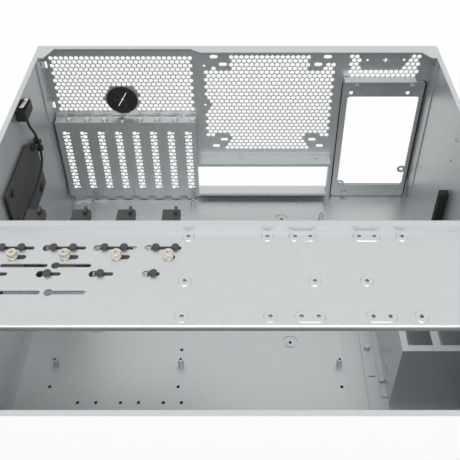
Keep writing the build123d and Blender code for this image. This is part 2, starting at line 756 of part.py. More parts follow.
# Each card retainer hangs under the bar on three hooks and reaches back and down to the cards
base_top = bar_top - sheet - gap
for index, x in enumerate(retainer_x):
    with BuildPart() as card_retainer:
        base = (x + retainer_centre - retainer_width / 2, x + retainer_centre + retainer_width / 2)
        block(base, retainer_base_ahead, (base_top - retainer_base, base_top))
        arm = (x + arm_centre - arm_width / 2, x + arm_centre + arm_width / 2)
        block(arm, (arm_ahead[1] - arm_neck, arm_ahead[1]), (arm_top - arm_thick, base_top - retainer_base))
        block(arm, arm_ahead, (arm_top - arm_thick, arm_top))
        web = (x + arm_centre - blade / 2, x + arm_centre + blade / 2)
        block(web, blade_ahead, (blade_low, arm_top - arm_thick))
        block(arm, blade_ahead, (blade_low - blade_foot, blade_low))
        post = (arm[1] - 2 * post_width, arm[1] - post_width)
        block(post, (arm_ahead[0], arm_ahead[0] + 3 * post_width), (arm_top, arm_top + post_height))
        head_low = bar_top + gap
        for dx, row in hooks:
            upright(x + dx, hook_rows[row], hook_r, base_top, head_low)
            upright(x + dx, hook_rows[row], hook_head_r, head_low, head_low + hook_head)
        upright(x, retainer_screw_ahead, retainer_screw_r + rivet_play, base_top - 2 * retainer_base,
                base_top + through, Mode.SUBTRACT)
    card_retainer.part.label = f"card_retainer_{index + 1}"
    export_step(card_retainer.part, f"parts/card_retainer_{index + 1}.step")

    with BuildPart() as retainer_screw:
        upright(x, retainer_screw_ahead, retainer_screw_r, base_top - retainer_base, head_low)
        collar_top = head_low + retainer_collar
        upright(x, retainer_screw_ahead, retainer_collar_r, head_low, collar_top)
        upright(x, retainer_screw_ahead, retainer_head_r, collar_top, collar_top + retainer_head)
        head_top = collar_top + retainer_head
        with Locations((x, ahead(retainer_screw_ahead), head_top)):
            with PolarLocations(0, 2, angular_range=180):
                Box(retainer_cross[0], retainer_cross[1], 2 * retainer_cross[2], mode=Mode.SUBTRACT)
    retainer_screw.part.label = f"retainer_screw_{index + 1}"
    export_step(retainer_screw.part, f"parts/retainer_screw_{index + 1}.step")

# The lid switch: a moulded body on the left wall with a sprung lever on top
switch_left = -inner
switch_right = -inner + switch_width
lever_x = (switch_right - lever_width - lever_inset, switch_right - lever_inset)
pin_place = (switch_ahead[0] + 2 * lever_post[1], switch_z[1] + lever_post[1])
with BuildPart() as lid_switch:
    block((switch_left, switch_right), switch_ahead, switch_z)
    post_ahead = (pin_place[0] - lever_post[1], pin_place[0] + lever_post[1])
    for x in (lever_x[0] - lever_inset - gap / 3, lever_x[1] + gap / 3):
        block((x, x + lever_post[0]), post_ahead, (switch_z[1], pin_place[1] + lever_post[2]))
        crosswise(pin_place[0], pin_place[1], lever_pin_r + rivet_play, x - through, x + lever_post[0] + through,
                  Mode.SUBTRACT)
    x, distance, top = lead_points[0]
    upright(x, distance, lead_r + switch_relief[0], top - switch_relief[1], top)
    upright(x, distance, lead_r + rivet_play, top - switch_relief[1] - through, top, Mode.SUBTRACT)
lid_switch.part.label = "lid_switch"
export_step(lid_switch.part, "parts/lid_switch.step")

with BuildPart() as switch_lever:
    middle = ((lever_x[0] + lever_x[1]) / 2, ahead(pin_place[0]), pin_place[1])
    with BuildSketch(Plane(origin=middle, x_dir=(0, -1, 0), z_dir=(1, 0, 0))):
        with Locations((0, 0)):
            Circle(lever_pin_r + lever_thick)
        with Locations(Location((0, 0), -lever_tilt)):
            with Locations((lever_length / 2, 0)):
                Rectangle(lever_length, lever_thick)
    extrude(amount=lever_width / 2, both=True)
    crosswise(pin_place[0], pin_place[1], lever_pin_r, lever_x[0] - lever_inset, lever_x[1] + lever_inset)
switch_lever.part.label = "switch_lever"
export_step(switch_lever.part, "parts/switch_lever.step")

# The lead runs down the wall and forward to the front board, held by three clips
with BuildPart() as switch_lead:
    with BuildLine() as lead_path:
        FilletPolyline(*[(x, ahead(d), z) for x, d, z in lead_points], radius=lead_radii)
    with BuildSketch(Plane(origin=lead_path.line @ 0, z_dir=lead_path.line % 0)):
        Circle(lead_r)
    sweep(path=lead_path.line)
switch_lead.part.label = "switch_lead"
export_step(switch_lead.part, "parts/switch_lead.step")

with BuildPart() as lead_clips:
    lead_x = lead_points[3][0]
    bore = lead_r + clip_play
    for distance, z in clip_places:
        ring = (distance - clip_width / 2, distance + clip_width / 2)
        crosswise(distance, z, clip_foot_r, -inner, -inner + clip_base)
        block((-inner, lead_x), (distance - clip_bar, distance + clip_bar), (z - clip_bar / 2, z + clip_bar / 2))
        rod(lead_x, z, clip_ring_r, *ring)
        rod(lead_x, z, bore, ring[0] - through, ring[1] + through, Mode.SUBTRACT)
    distance, z = first_clip
    crosswise(distance, z, clip_foot_r, -inner, -inner + clip_base)
    arm_x = (lead_x - clip_ring_r, lead_x - clip_ring_r + clip_bar)
    arm_z = (z - clip_bar, z + clip_bar)
    block((-inner, arm_x[1]), (distance - clip_bar, distance + clip_bar), arm_z)
    block(arm_x, (distance, first_clip_reach), arm_z)
    upright(lead_x, first_clip_reach, clip_ring_r, z - clip_bar, z + clip_bar)
    upright(lead_x, first_clip_reach, bore, z - 2 * clip_bar, z + 2 * clip_bar, Mode.SUBTRACT)
lead_clips.part.label = "lead_clips"
export_step(lead_clips.part, "parts/lead_clips.step")

# A moulded guard stands off the left wall on push rivets
with BuildPart() as wall_guard:
    with BuildSketch(Plane.YZ.offset(guard_face - guard_thick)):
        with BuildLine():
            front, back = ahead(guard_ahead[1]), ahead(guard_ahead[0])
            low, high = guard_z
            cut_y, cut_z = guard_chamfer
            Polyline(
                (front, low + cut_z), (front + cut_z, low), (back, low), (back, high - cut_z),
                (back - cut_y, high), (front, high),
                close=True,
            )
        make_face()
        with Locations(*[(ahead(distance), z) for distance, z in guard_rivets]):
            Circle(guard_rivet_r + rivet_play, mode=Mode.SUBTRACT)
    extrude(amount=guard_thick)
    for distance, z in guard_rivets:
        crosswise(distance, z, guard_rivet_r + guard_boss, -inner, guard_face - guard_thick)
        crosswise(distance, z, guard_rivet_r + rivet_play, -inner - through, guard_face, Mode.SUBTRACT)
wall_guard.part.label = "wall_guard"
export_step(wall_guard.part, "parts/wall_guard.step")

with BuildPart() as guard_rivets_set:
    for distance, z in guard_rivets:
        crosswise(distance, z, guard_rivet_r, -half, guard_face)
        crosswise(distance, z, guard_rivet_head_r, guard_face, guard_face + guard_rivet_head)
guard_rivets_set.part.label = "guard_rivets"
export_step(guard_rivets_set.part, "parts/guard_rivets.step")

# A foam strip keeps the power supply off the right wall
with BuildPart() as foam_strip:
    block((inner - foam_width, inner), foam_ahead, foam_z)
foam_strip.part.label = "foam_strip"
export_step(foam_strip.part, "parts/foam_strip.step")

# The drive cage: a folded box open at the top and the rear, with a rim, feet and a divider
with BuildPart() as drive_cage:
    cage_right = inner - gap
    top = cage_height + sheet
    block((cage_left, cage_left + sheet), cage_ahead, (sheet, top))
    block((cage_left + sheet, cage_left + cage_rim), cage_ahead, (top - sheet, top))
    block((cage_left + sheet, cage_right), (cage_ahead[1] - sheet, cage_ahead[1]), (sheet, top))
    front_rim = (cage_ahead[1] - cage_rim, cage_ahead[1] - sheet)
    block((cage_left + sheet, cage_right), front_rim, (top - sheet, top))
    block((cage_right - sheet, cage_right), (cage_ahead[0], cage_ahead[1] - sheet), (sheet, top - sheet))
    foot_run = (cage_ahead[0], cage_ahead[1] - cage_front_foot)
    block((cage_left - cage_foot, cage_left), foot_run, (sheet, 2 * sheet))
    block((cage_left, cage_right), (cage_ahead[1], cage_ahead[1] + cage_front_foot), (sheet, 2 * sheet))
    for distance in cage_bolts_ahead:
        upright(cage_bolt_x, distance, cage_screw_r + rivet_play, 0, 3 * sheet, Mode.SUBTRACT)
        for z in cage_slot_z:
            low, high = distance - cage_slot[1] / 2, distance + cage_slot[1] / 2
            block((cage_left - through, cage_left + 2 * sheet), (low, high), (z, z + cage_slot[0]), Mode.SUBTRACT)
drive_cage.part.label = "drive_cage"
export_step(drive_cage.part, "parts/drive_cage.step")

with BuildPart() as cage_divider:
    divider_run = (cage_ahead[0], cage_ahead[1] - 2 * sheet)
    block((divider_x, divider_x + sheet), divider_run, (2 * sheet, top - 2 * sheet))
    block((divider_x, divider_x + divider_foot), divider_run, (sheet, 2 * sheet))
    block((divider_x - cage_rim, divider_x), (cage_ahead[0], cage_ahead[1] - cage_rim - gap),
          (top - 3 * sheet, top - 2 * sheet))
cage_divider.part.label = "cage_divider"
export_step(cage_divider.part, "parts/cage_divider.step")

with BuildPart() as cage_screws:
    for distance in cage_bolts_ahead:
        upright(cage_bolt_x, distance, cage_screw_r, 0, 2 * sheet)
        upright(cage_bolt_x, distance, cage_screw_head_r, 2 * sheet, 2 * sheet + slot_screw_head)
cage_screws.part.label = "cage_screws"
export_step(cage_screws.part, "parts/cage_screws.step")

# A low channel lies on the floor beside the tray, held by two studs and slit across once
rail_middle = sum(rail_x) / 2
with BuildPart() as floor_rail:
    block(rail_x, rail_ahead, (rail_height, sheet + rail_height))
    for x in (rail_x[0] + sheet / 2, rail_x[1] - sheet / 2):
        block((x - sheet / 2, x + sheet / 2), rail_ahead, (sheet, rail_height))
    for distance in rail_studs:
        upright(rail_middle, distance, rail_stud_r + rivet_play, 0, 2 * rail_height + sheet, Mode.SUBTRACT)
    slit = (rail_middle - rail_tab[0] / 2, rail_middle + rail_tab[0] / 2)
    block(slit, (rail_tab_ahead - rail_tab[1], rail_tab_ahead), (0, 2 * rail_height + sheet), Mode.SUBTRACT)
floor_rail.part.label = "floor_rail"
export_step(floor_rail.part, "parts/floor_rail.step")

with BuildPart() as rail_studs_set:
    for distance in rail_studs:
        upright(rail_middle, distance, rail_stud_r, sheet, sheet + rail_height)
        seat = sheet + rail_height
        upright(rail_middle, distance, rail_stud_head_r, seat, seat + rail_stud_head)
rail_studs_set.part.label = "rail_studs"
export_step(rail_studs_set.part, "parts/rail_studs.step")

# The front panel closes the case, with two round intake fields and the controls
fan_places = [(x, fan_z) for x in fan_x]
intake = []
for centre in fan_places:
    span, rise = [(place - intake_r, place + intake_r) for place in centre]
    square = hex_field(span, rise, intake_pitch)
    inside = set(square) - set(apart(square, centre, intake_r - hex_size / 2))
    intake.extend(sorted(inside))
panel_height = case_height - sheet - gap
with BuildPart() as front_panel:
    with BuildSketch(Plane.XZ.offset(-ahead(shell_front))):
        with Locations((0, panel_height / 2)):
            Rectangle(case_width, panel_height)
        with Locations(*intake):
            RegularPolygon(hex_size / 2, 6, major_radius=False, rotation=30, mode=Mode.SUBTRACT)
        for centre in fan_places:
            with Locations(*square_corners(centre, fan_hole_spacing)):
                Circle(fan_hole_r, mode=Mode.SUBTRACT)
        with Locations((control_x, power_z)):
            Circle(power_r + button_play, mode=Mode.SUBTRACT)
        with Locations((control_x, reset_z)):
            Circle(reset_r + button_play, mode=Mode.SUBTRACT)
        with Locations(*[(control_x, z) for z in lamp_z]):
            Circle(lamp_r + rivet_play, mode=Mode.SUBTRACT)
        with Locations(*[(control_x, z) for z in socket_z]):
            Rectangle(socket_size[0] + gap, socket_size[1] + gap, mode=Mode.SUBTRACT)
    extrude(amount=panel_thick)
front_panel.part.label = "front_panel"
export_step(front_panel.part, "parts/front_panel.step")

# Rack ears are folded angles, screwed to the side walls, and carry the handles
handle_z = (case_height / 2 - handle_span / 2, case_height / 2 + handle_span / 2)
ear_back = body_depth - ear_thick
screw_end = body_depth + handle_screw_depth
for side, name in ((-1, "left"), (1, "right")):
    with BuildPart() as rack_ear:
        block((side * half, side * ear_span / 2), (ear_back, body_depth), (0, case_height))
        side_run = (ear_back - ear_side_depth, ear_back)
        block((side * half, side * (half + ear_side)), side_run, (0, case_height))
        with BuildSketch(Plane.XZ.offset(-ahead(ear_back))):
            for z in (case_height / 2 - ear_slot_spacing / 2, case_height / 2 + ear_slot_spacing / 2):
                with Locations((side * ear_slot_x, z)):
                    SlotOverall(ear_slot_length, 2 * ear_slot_r)
            with Locations(*[(side * handle_x, z) for z in handle_z]):
                Circle(handle_screw_r + rivet_play)
        extrude(amount=ear_thick, mode=Mode.SUBTRACT)
        for z in ear_screws_z:
            left, right = sorted((side * (half - through), side * (half + ear_side + through)))
            crosswise(ear_screw_ahead, z, wall_screw_r + rivet_play, left, right, Mode.SUBTRACT)
    rack_ear.part.label = f"rack_ear_{name}"
    export_step(rack_ear.part, f"parts/rack_ear_{name}.step")

    with BuildPart() as handle:
        with BuildSketch(Plane.YZ.offset(side * handle_x - handle_width / 2)):
            grip_y = front_y - handle_reach
            outer = (handle_span + handle_bar) / 2
            with Locations(((front_y + grip_y) / 2, case_height / 2)):
                Rectangle(handle_reach, 2 * outer)
            with Locations(((front_y + grip_y + handle_bar) / 2, case_height / 2)):
                Rectangle(handle_reach - handle_bar, 2 * outer - 2 * handle_bar, mode=Mode.SUBTRACT)
            fillet(vertices().group_by(Axis.X)[1], radius=handle_bend - handle_bar / 2)
            fillet(vertices().group_by(Axis.X)[0], radius=handle_bend)
        extrude(amount=handle_width)
        for z in handle_z:
            rod(side * handle_x, z, handle_screw_r, body_depth, screw_end + through, Mode.SUBTRACT)
    handle.part.label = f"handle_{name}"
    export_step(handle.part, f"parts/handle_{name}.step")

with BuildPart() as ear_screws:
    for side in (-1, 1):
        for z in ear_screws_z:
            left, right = sorted((side * inner, side * (half + ear_side)))
            crosswise(ear_screw_ahead, z, wall_screw_r, left, right)
            left, right = sorted((side * (half + ear_side), side * (half + ear_side + wall_screw_head)))
            crosswise(ear_screw_ahead, z, wall_screw_head_r, left, right)
ear_screws.part.label = "ear_screws"
export_step(ear_screws.part, "parts/ear_screws.step")

with BuildPart() as handle_screws:
    for side in (-1, 1):
        for z in handle_z:
            rod(side * handle_x, z, handle_screw_r - rivet_play, ear_back, screw_end)
            rod(side * handle_x, z, handle_screw_head_r, ear_back - handle_screw_head, ear_back)
handle_screws.part.label = "handle_screws"
export_step(handle_screws.part, "parts/handle_screws.step")

# Two fans draw air in behind the panel; each rotor turns on a pin in its frame
fan_back = shell_front - fan_depth
for index, centre in enumerate(fan_places):
    x, z = centre
    with BuildPart() as fan_frame:
        with BuildSketch(Plane.XZ.offset(-ahead(fan_back))):
            with Locations(centre):
                RectangleRounded(fan_size, fan_size, fan_corner_r)
                Circle(fan_bore_r, mode=Mode.SUBTRACT)
            with Locations(*square_corners(centre, fan_hole_spacing)):
                Circle(fan_hole_r - gap / 6, mode=Mode.SUBTRACT)
        extrude(amount=fan_depth)
        rod(x, z, fan_hub_r, fan_back, fan_back + fan_base)
        with BuildSketch(Plane.XZ.offset(-ahead(fan_back))):
            with Locations(centre):
                with PolarLocations((fan_hub_r + fan_bore_r) / 2, 4, start_angle=45):
                    Rectangle(fan_bore_r - fan_hub_r + 3, fan_strut)
        extrude(amount=fan_base)
        rod(x, z, fan_pin_r, fan_back, fan_back + fan_depth - fan_pin_short)
    fan_frame.part.label = f"fan_frame_{index + 1}"
    export_step(fan_frame.part, f"parts/fan_frame_{index + 1}.step")

    with BuildPart() as fan_rotor:
        rotor_back = fan_back + fan_base + gap
        rotor_front = shell_front - fan_front_gap
        rod(x, z, fan_hub_r, rotor_back, rotor_front)
        blade_middle = (rotor_back + rotor_front) / 2
        for turn in range(fan_blades):
            angle = 360 / fan_blades * turn
            radius = (fan_hub_r - fan_blade_root + fan_tip_r) / 2
            middle = (x + radius * cos(radians(angle)), ahead(blade_middle), z + radius * sin(radians(angle)))
            with Locations(Location(middle, (0, -angle, 0)) * Location((0, 0, 0), (fan_blade_pitch, 0, 0))):
                Box(fan_tip_r - fan_hub_r + fan_blade_root, rotor_front - rotor_back, fan_blade)
        rod(x, z, fan_pin_r + fan_bearing_play, fan_back, rotor_front - fan_front_gap, Mode.SUBTRACT)
    fan_rotor.part.label = f"fan_rotor_{index + 1}"
    export_step(fan_rotor.part, f"parts/fan_rotor_{index + 1}.step")

with BuildPart() as fan_screws:
    for centre in fan_places:
        for x, z in square_corners(centre, fan_hole_spacing):
            rod(x, z, fan_hole_r - gap / 3, shell_front - fan_screw_depth, body_depth)
            rod(x, z, fan_screw_head_r, body_depth, body_depth + fan_screw_head)
fan_screws.part.label = "fan_screws"
export_step(fan_screws.part, "parts/fan_screws.step")

# The controls: a board on posts, two sprung buttons, three lamps and two sockets
board_front = board_ahead + board_thick
socket_x = (control_x - socket_size[0] / 2, control_x + socket_size[0] / 2)
key_low = board_front + key_body[1]
with BuildPart() as control_board:
    block(board_x, (board_ahead, board_front), board_z)
    for z in (power_z, reset_z):
        reach = key_body[0] / 2
        block((control_x - reach, control_x + reach), (board_front, key_low), (z - reach, z + reach))
    for x, z in board_posts:
        rod(x, z + board_post_inset, board_post_r, board_front, shell_front)
    x, distance, z = lead_points[-1]
    plug = (x - plug_size / 2, x + plug_size / 2)
    block(plug, (distance, board_ahead), (z - plug_size / 2, z + plug_size / 2))
control_board.part.label = "control_board"
export_step(control_board.part, "parts/control_board.step")

for name, z, radius in (("power_button", power_z, power_r), ("reset_button", reset_z, reset_r)):
    with BuildPart() as button:
        rod(control_x, z, radius, shell_front, body_depth + button_proud)
        rod(control_x, z, radius + button_rim, shell_front - gap - button_rim_thick, shell_front - gap)
        rod(control_x, z, radius, shell_front - gap, shell_front)
        rod(control_x, z, key_stem_r, key_low + button_travel + gap, shell_front - gap - button_rim_thick)
    button.part.label = name
    export_step(button.part, f"parts/{name}.step")

with BuildPart() as status_lamps:
    for z in lamp_z:
        rod(control_x, z, lamp_r, board_front, body_depth + lamp_proud)
status_lamps.part.label = "status_lamps"
export_step(status_lamps.part, "parts/status_lamps.step")

with BuildPart() as data_sockets:
    for z in socket_z:
        height = (z - socket_size[1] / 2, z + socket_size[1] / 2)
        block(socket_x, (board_front, body_depth), height)
        hollow = (socket_x[0] + socket_wall, socket_x[1] - socket_wall)
        deep = body_depth - socket_depth
        block(hollow, (deep, body_depth + through), (height[0] + socket_wall, height[1] - socket_wall),
              Mode.SUBTRACT)
        tongue = (hollow[0] + socket_wall, hollow[1] - socket_wall)
        block(tongue, (deep, body_depth - through), (z + socket_tongue[0], z + socket_tongue[1]))
data_sockets.part.label = "data_sockets"
export_step(data_sockets.part, "parts/data_sockets.step")
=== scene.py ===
from math import copysign, hypot, pi, radians, sqrt

import bmesh
import bpy
from mathutils import Matrix, Vector


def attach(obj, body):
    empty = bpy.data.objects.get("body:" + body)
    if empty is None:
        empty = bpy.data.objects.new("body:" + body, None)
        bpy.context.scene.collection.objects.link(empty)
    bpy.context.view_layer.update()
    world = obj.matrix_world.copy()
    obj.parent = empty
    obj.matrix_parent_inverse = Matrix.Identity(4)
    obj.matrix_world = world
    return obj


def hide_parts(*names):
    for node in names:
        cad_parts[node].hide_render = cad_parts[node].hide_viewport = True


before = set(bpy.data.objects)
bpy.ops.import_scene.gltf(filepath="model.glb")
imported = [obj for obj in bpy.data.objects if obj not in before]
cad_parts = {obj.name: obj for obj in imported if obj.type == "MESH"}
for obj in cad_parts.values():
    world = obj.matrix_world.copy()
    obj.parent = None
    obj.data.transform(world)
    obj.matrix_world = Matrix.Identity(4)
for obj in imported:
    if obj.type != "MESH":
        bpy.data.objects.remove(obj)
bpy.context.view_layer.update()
scene = bpy.context.scene
scene.view_settings.view_transform = "Standard"

# The studio: a white floor, a white room and one wide soft box above and behind the camera,
# which stands in front of the case, well above it, and looks down at the rear panel.
camera = bpy.data.objects.new("camera", bpy.data.cameras.new("camera"))
camera.data.sensor_width = 36.0
camera.data.lens = 52.852
camera.data.shift_x = -0.02585
camera.data.shift_y = -0.1413
camera.location = (0.00477, -0.40409, 0.59578)
camera.rotation_euler = (radians(49.46), 0, 0)
scene.collection.objects.link(camera)
scene.camera = camera

soft_box = bpy.data.objects.new("soft_box", bpy.data.lights.new("soft_box", "AREA"))
soft_box.data.shape = "RECTANGLE"
soft_box.data.size = 1.6
soft_box.data.size_y = 1.0
soft_box.data.energy = 11.0
soft_box.location = (0, -1.25, 1.35)
soft_box.rotation_euler = (radians(47), 0, 0)
scene.collection.objects.link(soft_box)


class Shade:
    """A value in a finish's nodes: sums and products of it add Math nodes."""

    def __init__(self, finish, socket):
        self.finish = finish
        self.socket = socket

    def __add__(self, other):
        return self.finish.node("ShaderNodeMath", {"operation": "ADD"}, {0: self, 1: other})

    __radd__ = __add__

    def __sub__(self, other):
        return self.finish.node("ShaderNodeMath", {"operation": "SUBTRACT"}, {0: self, 1: other})

    def __rsub__(self, other):
        return self.finish.node("ShaderNodeMath", {"operation": "SUBTRACT"}, {0: other, 1: self})

    def __mul__(self, other):
        return self.finish.node("ShaderNodeMath", {"operation": "MULTIPLY"}, {0: self, 1: other})

    __rmul__ = __mul__


class Finish:
    """A material, or the room's light, built from nodes."""

    def __init__(self, owner):
        owner.use_nodes = True
        self.owner = owner
        self.tree = owner.node_tree
        self.tree.nodes.clear()

    def node(self, kind, settings=None, values=None, output=0):
        made = self.tree.nodes.new(kind)
        for key, value in (settings or {}).items():
            setattr(made, key, value)
        for key, value in (values or {}).items():
            if isinstance(value, Shade):
                self.tree.links.new(value.socket, made.inputs[key])
            else:
                made.inputs[key].default_value = value
        return Shade(self, made.outputs[output]) if len(made.outputs) else made

    def mix(self, factor, low, high):
        settings = {"data_type": "RGBA"}
        return self.node("ShaderNodeMix", settings, {0: factor, 6: low, 7: high}, output=2)


room = Finish(bpy.data.worlds.new("room"))
scene.world = room.owner
seen = room.node("ShaderNodeLightPath", output="Is Camera Ray")
mirrored = room.node("ShaderNodeLightPath", output="Is Glossy Ray")
passed = room.node("ShaderNodeLightPath", output="Is Transmission Ray")
direction = room.node("ShaderNodeTexCoord", output="Generated")
side = room.node("ShaderNodeSeparateXYZ", values={0: direction}, output="X")
depth = room.node("ShaderNodeSeparateXYZ", values={0: direction}, output="Y")
height = room.node("ShaderNodeSeparateXYZ", values={0: direction}, output="Z")
walls = 0.8 + 0.16 * height - 0.16 * depth - 0.4 * side * side
strength = room.node("ShaderNodeMix", {"data_type": "FLOAT"}, {0: seen + mirrored + passed, 2: walls, 3: 1.0})
background = room.node(
    "ShaderNodeBackground", values={"Color": (1.0, 1.0, 1.0, 1.0), "Strength": strength},
)
room.node("ShaderNodeOutputWorld", values={"Surface": background})

floor_mesh = bmesh.new()
bmesh.ops.create_grid(floor_mesh, x_segments=1, y_segments=1, size=4.0)
floor = bpy.data.objects.new("floor", bpy.data.meshes.new("floor"))
floor_mesh.to_mesh(floor.data)
floor_mesh.free()
floor.data.transform(Matrix.Translation((0, 0, -0.0005)))
scene.collection.objects.link(floor)
paper = Finish(bpy.data.materials.new("paper"))
to_camera = paper.node("ShaderNodeLightPath", output="Is Camera Ray")
in_metal = paper.node("ShaderNodeLightPath", output="Is Glossy Ray")
through = paper.node("ShaderNodeLightPath", output="Is Transmission Ray")
matt = paper.node("ShaderNodeBsdfDiffuse", values={"Color": (0.86, 0.86, 0.86, 1.0)})
white = paper.node("ShaderNodeEmission", values={"Color": (1.0, 1.0, 1.0, 1.0), "Strength": 1.0})
seen_white = 0.985 * (to_camera + through) + 0.35 * in_metal
sheet_of_paper = paper.node("ShaderNodeMixShader", values={0: seen_white, 1: matt, 2: white})
paper.node("ShaderNodeOutputMaterial", values={"Surface": sheet_of_paper})
floor.data.materials.append(paper.owner)

# The lead of the lid switch: a thin black two-core lead that leaves the switch downwards,
# passes behind a clip and the guard, and runs forward along the left wall to the front board.
rear_y = 0.23295
lead_route = (
    (-208.5, 99.5, 201.0), (-208.5, 99.5, 188.0), (-205.8, 91.0, 170.0), (-205.5, 90.5, 143.0),
    (-205.5, 96.5, 134.5), (-205.5, 110.0, 129.5), (-205.5, 134.0, 129.5), (-205.5, 166.0, 133.0),
    (-205.5, 214.0, 131.0), (-205.5, 268.0, 126.4), (-205.5, 322.0, 123.0), (-205.5, 372.0, 126.0),
    (-205.5, 403.0, 126.0),
)
lead_curve = bpy.data.curves.new("lead", "CURVE")
lead_curve.dimensions = "3D"
lead_curve.bevel_depth = 0.0013
lead_curve.bevel_resolution = 3
lead_curve.resolution_u = 8
lead_curve.use_fill_caps = True
lead_line = lead_curve.splines.new("NURBS")
lead_line.points.add(len(lead_route) - 1)
for point, (x, ahead, z) in zip(lead_line.points, lead_route):
    point.co = (x / 1000, rear_y - ahead / 1000, z / 1000, 1.0)
lead_line.order_u = 3
lead_line.use_endpoint_u = True
lead = bpy.data.objects.new("lead", lead_curve)
scene.collection.objects.link(lead)


def moulded(name, colour, roughness, grain, depth, clear=0.0):
    """Moulded plastic or rubber with a fine grain in its surface."""
    finish = Finish(bpy.data.materials.new(name))
    place = finish.node("ShaderNodeTexCoord", output="Object")
    pits = finish.node("ShaderNodeTexNoise", values={"Vector": place, "Scale": grain, "Detail": 3.0})
    wear = finish.node("ShaderNodeTexNoise", values={"Vector": place, "Scale": 45.0, "Detail": 4.0})
    bump = finish.node(
        "ShaderNodeBump", values={"Strength": depth, "Distance": 0.0002, "Height": pits}, output="Normal",
    )
    light = tuple(min(1.0, 1.35 * part + 0.004) for part in colour) + (1.0,)
    dark = tuple(0.78 * part for part in colour) + (1.0,)
    surface = finish.node(
        "ShaderNodeBsdfPrincipled",
        values={
            "Base Color": finish.mix(wear, dark, light), "Roughness": roughness - 0.12 + 0.24 * wear,
            "Normal": bump, "Coat Weight": clear, "Coat Roughness": 0.2,
        },
    )
    finish.node("ShaderNodeOutputMaterial", values={"Surface": surface})
    return finish.owner


black_plastic = moulded("black_plastic", (0.014, 0.015, 0.016), 0.45, 900.0, 0.25)
lead.data.materials.append(black_plastic)
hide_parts("switch_lead")
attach(lead, "case")

# The shell: floor, both side walls and their narrow top flanges, folded from one galvanised
# sheet. The zinc has a faint spangle and is slightly dull, so it takes soft reflections.


def sheet_finish(name, colour, roughness):
    """Galvanised sheet: zinc grains of slightly different tone, roughness and tilt."""
    finish = Finish(bpy.data.materials.new(name))
    place = finish.node("ShaderNodeTexCoord", output="Object")
    grains = finish.node("ShaderNodeTexVoronoi", values={"Vector": place, "Scale": 700.0}, output="Color")
    grain = finish.node("ShaderNodeSeparateColor", values={"Color": grains}, output=0)
    clouds = finish.node("ShaderNodeTexNoise", values={"Vector": place, "Scale": 9.0, "Detail": 3.0})
    fine = finish.node("ShaderNodeTexNoise", values={"Vector": place, "Scale": 1500.0, "Detail": 2.0})
    tone = 0.45 * grain + 0.2 * clouds + 0.35 * fine
    relief = fine + 0.6 * grain
    bump = finish.node(
        "ShaderNodeBump", values={"Strength": 0.12, "Distance": 0.0002, "Height": relief}, output="Normal",
    )
    low = tuple(0.95 * part for part in colour) + (1.0,)
    high = tuple(min(1.0, 1.05 * part) for part in colour) + (1.0,)
    surface = finish.node(
        "ShaderNodeBsdfPrincipled",
        values={
            "Base Color": finish.mix(tone, low, high), "Metallic": 0.75,
            "Roughness": roughness - 0.05 + 0.1 * tone, "Normal": bump,
        },
    )
    finish.node("ShaderNodeOutputMaterial", values={"Surface": surface})
    return finish.owner


galvanised = sheet_finish("galvanised", (0.60, 0.626, 0.634), 0.38)


def eased(node, material, width, body="case"):
    """A copy of a node with its edges eased."""
    mesh = bmesh.new()
    mesh.from_mesh(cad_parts[node].data)
    bmesh.ops.remove_doubles(mesh, verts=mesh.verts, dist=1e-6)
    bmesh.ops.dissolve_limit(mesh, angle_limit=radians(0.5), verts=mesh.verts, edges=mesh.edges)
    for face in mesh.faces:
        face.smooth = True
        face.material_index = 0
    for edge in mesh.edges:
        edge.smooth = edge.calc_face_angle(0.0) < radians(32)
    piece = bpy.data.objects.new(f"{node}_finished", bpy.data.meshes.new(node))
    mesh.to_mesh(piece.data)
    mesh.free()
    scene.collection.objects.link(piece)
    bevel = piece.modifiers.new("eased", "BEVEL")
    bevel.width = width
    bevel.segments = 2
    bevel.limit_method = "ANGLE"
    bevel.angle_limit = radians(50)
    bevel.harden_normals = True
    bevel.use_clamp_overlap = True
    piece.data.materials.append(material)
    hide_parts(node)
    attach(piece, body)


eased("chassis_shell", galvanised, 0.0004)


# The rear panel: the same sheet, punched with three fields of small hexagons, slots for a fan,
# and openings for the slot frame and the power supply. Its top is folded forward into a
# stepped flange with a gusset at each corner, and a return runs down along each side wall.
sheet = 1.2
case_half = 215.0
case_height = 220.0
hole_pitch = 5.63
hole_row = hole_pitch * sqrt(3) / 2
hole_wall = 0.9
left_field = (-204.2, 205.3, 28, 15)
middle_field = (-35.1, 206.6, 26, 27)
supply_field = (125.0, 207.4, 14, 6)
grommet_place = (-132.1, 150.3)
grommet_radius = 15.0
grommet_clearing = 20.3
fan_middle = (36.25, 144.9)
fan_spacings = (105.0, 124.5)
fan_slot_radius = 2.3
fan_slot_stretch = 2.2
screw_holes = ((-37.0, 195.5), (-37.2, 143.0), (142.2, 202.8), (182.1, 203.1))
screw_radius = 1.5
screw_clearing = 8.0
edge_slots = ((-210.7, 196.8), (-211.2, 143.0))
edge_slot_half = (1.4, 4.4)


def hole_field(start, top, columns, rows):
    """Centres of a staggered field: every second row is shifted by half a pitch."""
    for row in range(rows):
        for column in range(columns - row % 2):
            yield row, start + hole_pitch * (column + 0.5 * (row % 2)), top - hole_row * row


def ring(mesh, place, radius, segments, filled=False):
    """A round or hexagonal outline in the panel's rear face."""
    turned = Matrix.Translation((place[0] / 1000, rear_y, place[1] / 1000)) @ Matrix.Rotation(pi / 2, 4, "X")
    return bmesh.ops.create_circle(
        mesh, segments=segments, radius=radius / 1000, cap_ends=filled, matrix=turned,
    )["verts"]


def outline(mesh, *corners):
    """A closed outline in the panel's rear face through a few corners."""
    verts = [mesh.verts.new((x / 1000, rear_y, z / 1000)) for x, z in corners]
    return [mesh.edges.new(pair) for pair in zip(verts, verts[1:] + verts[:1])]


